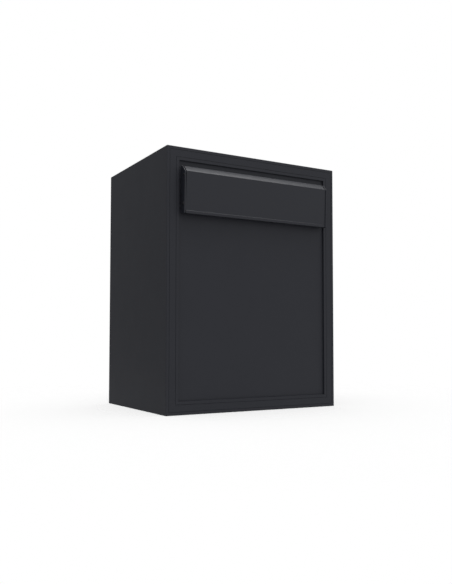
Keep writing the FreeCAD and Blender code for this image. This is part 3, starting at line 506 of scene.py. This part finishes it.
def make_stop_bolts():
    """Bolts that carry the hopper's rubber stops: socket head inside, nut outside the plate."""
    plate_thickness = 2 * MM
    head = 1.2 * MM
    nut_height = 3 * MM
    plate_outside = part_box("hopper_side_right")[0].x + plate_thickness
    mesh = bmesh.new()
    for low, high in solids_of("stop_pins"):
        middle = (low + high) / 2
        side = math.copysign(1, middle.x)
        inner = min(abs(low.x), abs(high.x))
        outer = max(abs(low.x), abs(high.x))
        radius = (high.z - low.z) / 2
        shank = 0.57 * radius
        plain = plate_outside - inner - head
        rings = socket_head(radius, head, 0.4 * radius) + [(shank, 0), (shank, plain)]
        thread = thread_loops(shank, plain + THREAD_START, outer - inner - head, SCREW_PITCH, 0.3 * MM,
                              HEX_STEPS, point=0.3)
        place = facing((side * (inner + head), middle.y, middle.z), (side, 0, 0))
        skin(mesh, place, ring_loops(rings, HEX_STEPS) + thread)
        nut_place = facing((side * plate_outside, middle.y, middle.z), (side, 0, 0))
        flanged_nut(mesh, nut_place, 0.8 * radius, nut_height, shank + THREAD_START)
    piece_from(mesh, "stop_bolts", "stop_pins", ["stop_pins"])


def make_shaft_clips():
    """Domed push-on rings at the shaft's ends."""
    mesh = bmesh.new()
    for low, high in solids_of("shaft_clips"):
        middle = (low + high) / 2
        side = math.copysign(1, middle.x)
        radius = (high.z - low.z) / 2
        thick = high.x - low.x
        start = facing((side * min(abs(low.x), abs(high.x)), middle.y, middle.z), (side, 0, 0))
        turned(mesh, start, [
            (0.58 * radius, 0), (radius, 0), (radius, 0.45 * thick), (0.88 * radius, 0.5 * thick),
            (0.60 * radius, thick), (0.58 * radius, thick)])
    piece_from(mesh, "push_on_rings", "shaft_clips", ["shaft_clips"])


def make_cam_screw():
    """Screw that holds the cam on the plug, its head towards the inside of the box."""
    low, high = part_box("cam_screw")
    middle = (low + high) / 2
    radius = (high.x - low.x) / 2
    mesh = bmesh.new()
    place = facing((middle.x, high.y, middle.z), (0, 1, 0))
    turned(mesh, place, socket_head(radius, high.y - low.y, 0.42 * radius), steps=HEX_STEPS)
    piece_from(mesh, "cam_fixing_screw", "cam_screw", ["cam_screw"])


# ---------------------------------------------------------------- lock and key cover

def make_lock():
    """Barrel with a stepped bezel and a fine thread inside the door, and its chamfered ring nut."""
    low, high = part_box("lock_barrel")
    nut_low, nut_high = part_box("lock_nut")
    plug_low, plug_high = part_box("lock_plug")
    middle = (low + high) / 2
    flange = (high.x - low.x) / 2
    radius = 9 * MM
    play = 0.05 * MM
    bore = (plug_high.x - plug_low.x) / 2 + play
    head = 3 * MM
    plain = 5.5 * MM
    seat = high.y - head
    end = seat - low.y
    front = ring_loops([
        (bore, -0.8 * head), (bore + 0.25 * MM, -0.93 * head), (bore + 0.7 * MM, -head),
        (0.8 * flange, -head), (0.83 * flange, -0.86 * head), (flange - 0.5 * MM, -0.72 * head),
        (flange, -0.5 * head), (flange, 0), (radius, 0), (radius, plain)], LOCK_STEPS)
    thread = thread_loops(radius, plain + THREAD_START, end, 1 * MM, 0.35 * MM, LOCK_STEPS)
    mesh = bmesh.new()
    place = facing((middle.x, seat, middle.z), (0, -1, 0))
    skin(mesh, place, front + thread + ring_loops([(bore, end)], LOCK_STEPS), hollow=True)
    piece_from(mesh, "lock_body", "lock_barrel", ["lock_barrel"])

    nut = bmesh.new()
    flats = min(nut_high.x - nut_low.x, nut_high.z - nut_low.z) / 2
    height = nut_high.y - nut_low.y
    hole = radius + play
    turned(nut, facing((middle.x, nut_high.y, middle.z), (0, -1, 0)), [
        (hole, 0), (0.96 * flats, 0), (flats, 0.12 * height, 6), (flats, 0.88 * height, 6),
        (0.96 * flats, height), (radius + 0.6 * MM, height), (hole, 0.85 * height)],
        steps=LOCK_STEPS, hollow=True)
    piece_from(nut, "lock_ring_nut", "lock_nut", ["lock_nut"])


def make_key_cover():
    """Dome pressed in the face of the cover, and the domed rivet that the cover swings on."""
    low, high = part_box("keyhole_cover")
    middle_x = (low.x + high.x) / 2
    radius = (high.x - low.x) / 2
    mesh = bmesh.new()
    turned(mesh, facing((middle_x, high.y - 0.05 * MM, low.z + radius), (0, 1, 0)), [
        (0.78 * radius, 0), (0.74 * radius, 0.25 * MM), (0.6 * radius, 0.5 * MM),
        (0.4 * radius, 0.65 * MM), (0.2 * radius, 0.72 * MM)], steps=LOCK_STEPS)
    piece_from(mesh, "keyhole_cover_dome", "keyhole_cover")

    pin_low, pin_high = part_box("cover_pin")
    middle = (pin_low + pin_high) / 2
    head = (pin_high.x - pin_low.x) / 2
    length = pin_high.y - pin_low.y
    mesh = bmesh.new()
    turned(mesh, facing((middle.x, pin_low.y, middle.z), (0, 1, 0)), [
        (0.86 * head, 0), (0.86 * head, length - 2.2 * MM), (0.52 * head, length - 2.15 * MM),
        (0.52 * head, length - 0.8 * MM), (head, length - 0.78 * MM), (0.92 * head, length - 0.4 * MM),
        (0.6 * head, length - 0.12 * MM), (0.25 * head, length)])
    piece_from(mesh, "cover_rivet", "cover_pin", ["cover_pin"])


# ---------------------------------------------------------------- flap ends

def make_flap_ends():
    """End caps of the flap: an outer plate on a smaller step, which leaves a shadow line beside it."""
    step_width = 2.6 * MM
    step_inset = 1.9 * MM
    for node in ("flap_end_left", "flap_end_right"):
        low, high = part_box(node)
        side = math.copysign(1, low.x + high.x)
        inner = min(abs(low.x), abs(high.x))
        outer = max(abs(low.x), abs(high.x))
        step = inner + step_width
        outline = cap_outline(node)
        small = inset_outline(outline, step_inset)
        stack = [(inner, small), (step, small), (step, outline), (outer, outline)]
        mesh = bmesh.new()
        skin(mesh, Matrix(), [[(side * reach, y, z) for y, z in corners] for reach, corners in stack])
        piece = piece_from(mesh, f"{node}_cap", node, [node])
        add_bevel(piece, 0.4 * MM, 3)


def cap_outline(node):
    """Corners (y, z) of an end cap seen from its end, with points closer than half a mm merged."""
    corners = []
    for point in convex_hull([(vert.co.y, vert.co.z) for vert in nodes[node].data.vertices]):
        if all(math.dist(point, other) > 0.5 * MM for other in corners):
            corners.append(point)
    return corners


def convex_hull(points):
    """Corners of the smallest convex outline round flat points, counter-clockwise."""
    ordered = sorted(set((round(a, 6), round(b, 6)) for a, b in points))

    def chain(items):
        kept = []
        for point in items:
            while len(kept) > 1 and turn_of(kept[-2], kept[-1], point) <= 0:
                kept.pop()
            kept.append(point)
        return kept[:-1]
    return chain(ordered) + chain(list(reversed(ordered)))


def turn_of(a, b, c):
    """Positive where the way from a over b to c turns left."""
    return (b[0] - a[0]) * (c[1] - a[1]) - (b[1] - a[1]) * (c[0] - a[0])


def inset_outline(outline, inset):
    """Move each side of a counter-clockwise convex outline inwards and meet them again."""
    lines = []
    for first, second in zip(outline, outline[1:] + outline[:1]):
        along = (Vector(second) - Vector(first)).normalized()
        inward = Vector((-along.y, along.x))
        lines.append((Vector(first) + inward * inset, along))
    corners = []
    for (place, along), (other, onward) in zip([lines[-1]] + lines[:-1], lines):
        reach = (other - place).cross(onward) / along.cross(onward)
        corners.append(tuple(place + along * reach))
    return corners


# ---------------------------------------------------------------- seals

def make_door_seal():
    """Bulb seal round the doorway: a flat foot on the rear frame's flange and a round bead on it."""
    low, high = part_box("door_seal")
    width = 4.5 * MM
    half = width / 2
    height = high.y - low.y
    corners = [(low.x + half, low.z + half), (high.x - half, low.z + half),
               (high.x - half, high.z - half), (low.x + half, high.z - half)]
    shoulder = low.y + 0.22 * height
    section = [(-half, low.y), (half, low.y), (half, shoulder)]
    bead_points = 9
    for step in range(bead_points):
        angle = math.pi * step / (bead_points - 1)
        section.append((0.42 * width * math.cos(angle), low.y + (0.36 + 0.64 * math.sin(angle)) * height))
    section.append((-half, shoulder))
    mesh = bmesh.new()
    swept_frame(mesh, corners, half + 0.6 * MM, section)
    piece_from(mesh, "door_bulb_seal", "door_seal", ["door_seal"], smooth_angle=50)


def make_opening_seal():
    """Strip with a rounded lip, up both sides and across the top of the drop opening."""
    low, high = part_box("opening_seal")
    width = 5 * MM
    half = width / 2
    corners = [(high.x - half, low.z), (high.x - half, high.z - half), (low.x + half, high.z - half),
               (low.x + half, low.z)]
    depth = high.y - low.y
    section = [
        (half, high.y), (-half, high.y), (-half, low.y + 0.55 * depth), (-0.34 * width, low.y + 0.2 * depth),
        (-0.1 * width, low.y), (0.12 * width, low.y + 0.05 * depth), (0.3 * width, low.y + 0.4 * depth),
        (half, low.y + 0.6 * depth)]
    mesh = bmesh.new()
    swept_frame(mesh, corners, half + 0.5 * MM, section, closed=False)
    piece_from(mesh, "opening_lip_seal", "opening_seal", ["opening_seal"], smooth_angle=50)


# ---------------------------------------------------------------- spot welds

def make_spot_welds():
    """Shallow round marks where the rear frame's flange and the guard's top flange are welded."""
    pitch = 75 * MM
    inset = 9 * MM
    low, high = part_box("rear_frame")
    left, right, bottom, top = low.x + inset, high.x - inset, low.z + inset, high.z - inset
    places = [(x, z) for x in evenly(left, right, pitch) for z in (bottom, top)]
    places += [(x, z) for z in evenly(bottom, top, pitch)[1:-1] for x in (left, right)]
    mesh = bmesh.new()
    for x, z in places:
        spot_weld(mesh, facing((x, high.y, z), (0, 1, 0)))
    piece_from(mesh, "rear_spot_welds", "rear_frame")

    from_back = 25 * MM
    sheet = 1.5 * MM
    low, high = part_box("anti_theft_guard")
    mesh = bmesh.new()
    for x in evenly(low.x + 2 * inset, high.x - 2 * inset, pitch):
        spot_weld(mesh, facing((x, high.y - from_back, high.z - sheet), (0, 0, -1)))
    piece_from(mesh, "guard_spot_welds", "anti_theft_guard")


def evenly(start, end, pitch):
    """Places from start to end, about pitch apart."""
    count = max(1, round((end - start) / pitch))
    return [start + (end - start) * step / count for step in range(count + 1)]


def spot_weld(mesh, matrix):
    """A raised ring round a slightly lower middle."""
    turned(mesh, matrix, [
        (3.2 * MM, 0), (3.0 * MM, 0.12 * MM), (2.6 * MM, 0.14 * MM), (2.2 * MM, 0.05 * MM),
        (1.0 * MM, 0.03 * MM)], steps=20)


# ---------------------------------------------------------------- stage, light and camera

def vector_math(tree, operation, first, second=None):
    node = tree.nodes.new("ShaderNodeVectorMath")
    node.operation = operation
    tree.links.new(first, node.inputs[0])
    if second is not None:
        node.inputs[1].default_value = second
    return node


def math_node(tree, operation, first, second):
    node = tree.nodes.new("ShaderNodeMath")
    node.operation = operation
    tree.links.new(first, node.inputs[0])
    tree.links.new(second, node.inputs[1])
    return node.outputs["Value"]


def make_floor():
    """Pale studio floor that fades out, so that it has no edge or horizon, and is clear from below."""
    half = FLOOR_HALF
    mesh = bpy.data.meshes.new("floor")
    corners = [(x, y, FLOOR_LEVEL) for x, y in ((-half, -half), (half, -half), (half, half), (-half, half))]
    mesh.from_pydata(corners, [], [(0, 1, 2, 3)])
    floor = bpy.data.objects.new("floor", mesh)
    scene.collection.objects.link(floor)
    material, tree, shader = new_material("pale_floor")
    where = place_coordinates(tree)
    tone = spread(tree, noise(tree, where, 0.4, 2.0), 0.0, 1.0)
    colour = blend_colours(tree, tone, (0.86, 0.86, 0.86), (0.88, 0.88, 0.88))
    tree.links.new(colour, shader.inputs["Base Color"])
    shader.inputs["Roughness"].default_value = 0.9
    shader.inputs["Specular IOR Level"].default_value = 0.1
    fade = spread(tree, vector_math(tree, "LENGTH", where).outputs["Value"], FLOOR_SOLID, 0.0, *FLOOR_FADE)
    solid = math_node(tree, "MAXIMUM", under_casing(tree, where), fade)
    from_below = tree.nodes.new("ShaderNodeNewGeometry").outputs["Backfacing"]
    from_above = spread(tree, from_below, 1.0, 0.0, 0.0, 1.0)
    tree.links.new(math_node(tree, "MULTIPLY", solid, from_above), shader.inputs["Alpha"])
    mesh.materials.append(material)


def under_casing(tree, where):
    """1 for camera rays under the casing, so that its bolt holes look dark, and 0 elsewhere."""
    inverse = (1 / CASING_HIGH.x, 1 / CASING_HIGH.y, 0)
    scaled = vector_math(tree, "MULTIPLY", where, inverse).outputs["Vector"]
    outward = tree.nodes.new("ShaderNodeSeparateXYZ")
    tree.links.new(vector_math(tree, "ABSOLUTE", scaled).outputs["Vector"], outward.inputs["Vector"])
    reach = math_node(tree, "MAXIMUM", outward.outputs["X"], outward.outputs["Y"])
    camera_ray = tree.nodes.new("ShaderNodeLightPath").outputs["Is Camera Ray"]
    return math_node(tree, "MULTIPLY", camera_ray, spread(tree, reach, 1.0, 0.0, 0.93, 1.0))


def make_world():
    """White to the camera; as light, a soft dome that is brighter overhead and in front."""
    world = bpy.data.worlds.new("studio")
    world.use_nodes = True
    tree = world.node_tree
    tree.nodes.clear()
    output = tree.nodes.new("ShaderNodeOutputWorld")
    seen = tree.nodes.new("ShaderNodeBackground")
    seen.inputs["Color"].default_value = (1, 1, 1, 1)
    lighting = tree.nodes.new("ShaderNodeBackground")
    direction = tree.nodes.new("ShaderNodeTexCoord").outputs["Generated"]
    towards = vector_math(tree, "DOT_PRODUCT", direction, Vector(DOME_SIDE).normalized())
    strength = spread(tree, towards.outputs["Value"], DOME_LOW, DOME_HIGH, DOME_FROM, 1.0)
    tree.links.new(strength, lighting.inputs["Strength"])
    mix = tree.nodes.new("ShaderNodeMixShader")
    tree.links.new(tree.nodes.new("ShaderNodeLightPath").outputs["Is Camera Ray"], mix.inputs["Fac"])
    tree.links.new(lighting.outputs["Background"], mix.inputs[1])
    tree.links.new(seen.outputs["Background"], mix.inputs[2])
    tree.links.new(mix.outputs["Shader"], output.inputs["Surface"])
    scene.world = world


def make_softbox():
    """Large softbox above, aimed at the middle of the casing."""
    data = bpy.data.lights.new("top_softbox", "AREA")
    data.shape = "RECTANGLE"
    data.size, data.size_y = TOP_SIZE
    data.energy = TOP_WATTS
    light = bpy.data.objects.new("top_softbox", data)
    light.location = TOP_PLACE
    middle = (CASING_LOW + CASING_HIGH) / 2
    light.rotation_euler = (middle - Vector(TOP_PLACE)).to_track_quat("-Z", "Y").to_euler()
    scene.collection.objects.link(light)


def make_camera():
    """Front left, a little over a quarter of the way up the casing, looking slightly upwards."""
    data = bpy.data.cameras.new("camera")
    data.sensor_width = 36
    data.lens = CAMERA_LENS
    data.shift_x, data.shift_y = CAMERA_SHIFT
    camera = bpy.data.objects.new("camera", data)
    camera.location = CAMERA_PLACE
    yaw, pitch = math.radians(CAMERA_YAW), math.radians(CAMERA_PITCH)
    forward = Vector((math.sin(yaw) * math.cos(pitch), math.cos(yaw) * math.cos(pitch), math.sin(pitch)))
    camera.rotation_euler = forward.to_track_quat("-Z", "Y").to_euler()
    scene.collection.objects.link(camera)
    scene.camera = camera


finish_cad_nodes()
make_frame_fixings()
make_rivets()
make_cap_screws()
make_stop_bolts()
make_shaft_clips()
make_cam_screw()
make_lock()
make_key_cover()
make_flap_ends()
make_door_seal()
make_opening_seal()
make_spot_welds()

make_floor()
make_world()
make_softbox()
make_camera()
scene.view_settings.view_transform = "Standard"
